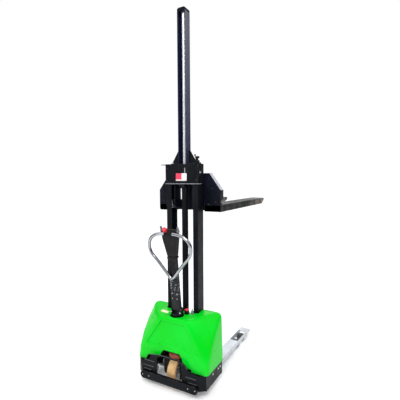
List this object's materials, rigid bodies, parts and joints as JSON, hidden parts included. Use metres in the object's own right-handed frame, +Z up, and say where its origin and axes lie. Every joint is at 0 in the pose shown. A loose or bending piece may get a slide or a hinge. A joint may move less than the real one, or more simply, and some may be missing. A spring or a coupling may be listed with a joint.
{
  "type": "electric pallet stacker",
  "caption": "Walk-behind electric pallet stacker with support legs, single-stage mast, raised forks and a steered drive wheel under a moulded hood.",
  "frame": {"origin": "on the floor under the middle of the machine's length and width", "axes": "+X to the operator's right, +Y towards the fork tips, +Z up the mast"},
  "size_m": [0.7, 1.675, 3.25],
  "materials": {
    "black_paint": "semi-gloss black enamel with fine orange peel and scuffs",
    "grey_leg_paint": "light silver-grey paint, worn along the edges",
    "fork_paint": "dark paint rubbed to brownish steel at the tips",
    "carriage_paint": "semi-gloss blue-black enamel",
    "yoke_paint": "cast iron with reddish-brown primer",
    "hood_plastic": "moulded bright green shell, glossy",
    "chrome": "hard-chromed, polished",
    "bright_steel": "machined and zinc-plated steel",
    "tread": "tan polyurethane, slightly soiled",
    "roller": "dark polyurethane",
    "castor_tyre": "black rubber",
    "grip_plastic": "fine-grained black plastic",
    "arm_paint": "charcoal textured powder coat",
    "grey_plastic": "grey plastic",
    "red_plastic": "glossy red plastic",
    "plate_face": "blank printed plate, red and white",
    "block_grey": "plain casing"
  },
  "bodies": {
    "frame": {"chassis_frame": "black_paint", "bumper_bar": "black_paint", "support_leg_left": "grey_leg_paint", "support_leg_right": "grey_leg_paint", "load_roller_axles": "bright_steel", "mast_upright_left": "black_paint", "mast_upright_right": "black_paint", "mast_foot": "black_paint", "mast_crosshead": "black_paint", "column_guides": "black_paint", "lift_cylinder": "black_paint", "limit_switch": "grip_plastic", "rating_plate": "plate_face", "hood": "hood_plastic", "battery_pack": "block_grey", "hydraulic_power_pack": "block_grey", "emergency_stop_base": "grip_plastic", "emergency_stop_button": "red_plastic", "key_switch": "grey_plastic"},
    "carriage": {"lift_rod": "chrome", "lift_column": "carriage_paint", "column_cap": "carriage_paint", "carriage_frame": "carriage_paint", "carriage_rollers": "bright_steel", "fork_left": "fork_paint", "fork_right": "fork_paint"},
    "drive_unit": {"drive_yoke": "yoke_paint", "drive_motor": "block_grey", "tiller_base": "black_paint"},
    "drive_wheel": {"drive_wheel_hub": "bright_steel", "drive_wheel_tread": "tread"},
    "tiller": {"tiller_arm": "arm_paint", "tiller_head": "grip_plastic", "tiller_loop": "chrome", "throttle_levers": "grey_plastic", "belly_button": "red_plastic"},
    "castor_fork_left": {"castor_fork_left": "bright_steel"},
    "castor_wheel_left": {"castor_wheel_left": "castor_tyre"},
    "load_roller_left_front": {"load_roller_left_front": "roller"},
    "load_roller_left_rear": {"load_roller_left_rear": "roller"},
    "castor_fork_right": {"castor_fork_right": "bright_steel"},
    "castor_wheel_right": {"castor_wheel_right": "castor_tyre"},
    "load_roller_right_front": {"load_roller_right_front": "roller"},
    "load_roller_right_rear": {"load_roller_right_rear": "roller"}
  },
  "joints": [
    {"name": "lift", "type": "slide", "parent": "frame", "child": "carriage", "axis": [0, 0, 1], "range_m": [-1.459, 0.03]},
    {"name": "steering", "type": "hinge", "parent": "frame", "child": "drive_unit", "pos_m": [0, -0.6755, 0.3], "axis": [0, 0, 1], "range_deg": [-55, 55]},
    {"name": "tiller_tilt", "type": "hinge", "parent": "drive_unit", "child": "tiller", "pos_m": [0, -0.6755, 0.655], "axis": [1, 0, 0], "range_deg": [0, 70]},
    {"name": "drive_wheel_spin", "type": "hinge", "parent": "drive_unit", "child": "drive_wheel", "pos_m": [0, -0.6755, 0.115], "axis": [1, 0, 0], "continuous": true},
    {"name": "castor_left_swivel", "type": "hinge", "parent": "frame", "child": "castor_fork_left", "pos_m": [-0.254, -0.6915, 0.113], "axis": [0, 0, 1], "continuous": true},
    {"name": "castor_left_spin", "type": "hinge", "parent": "castor_fork_left", "child": "castor_wheel_left", "pos_m": [-0.254, -0.6665, 0.04], "axis": [1, 0, 0], "continuous": true},
    {"name": "load_roller_left_front_spin", "type": "hinge", "parent": "frame", "child": "load_roller_left_front", "pos_m": [-0.2155, 0.2905, 0.038], "axis": [1, 0, 0], "continuous": true},
    {"name": "load_roller_left_rear_spin", "type": "hinge", "parent": "frame", "child": "load_roller_left_rear", "pos_m": [-0.2155, 0.1405, 0.038], "axis": [1, 0, 0], "continuous": true},
    {"name": "castor_right_swivel", "type": "hinge", "parent": "frame", "child": "castor_fork_right", "pos_m": [0.254, -0.6915, 0.113], "axis": [0, 0, 1], "continuous": true},
    {"name": "castor_right_spin", "type": "hinge", "parent": "castor_fork_right", "child": "castor_wheel_right", "pos_m": [0.254, -0.6665, 0.04], "axis": [1, 0, 0], "continuous": true},
    {"name": "load_roller_right_front_spin", "type": "hinge", "parent": "frame", "child": "load_roller_right_front", "pos_m": [0.2155, 0.2905, 0.038], "axis": [1, 0, 0], "continuous": true},
    {"name": "load_roller_right_rear_spin", "type": "hinge", "parent": "frame", "child": "load_roller_right_rear", "pos_m": [0.2155, 0.1405, 0.038], "axis": [1, 0, 0], "continuous": true}
  ]
}
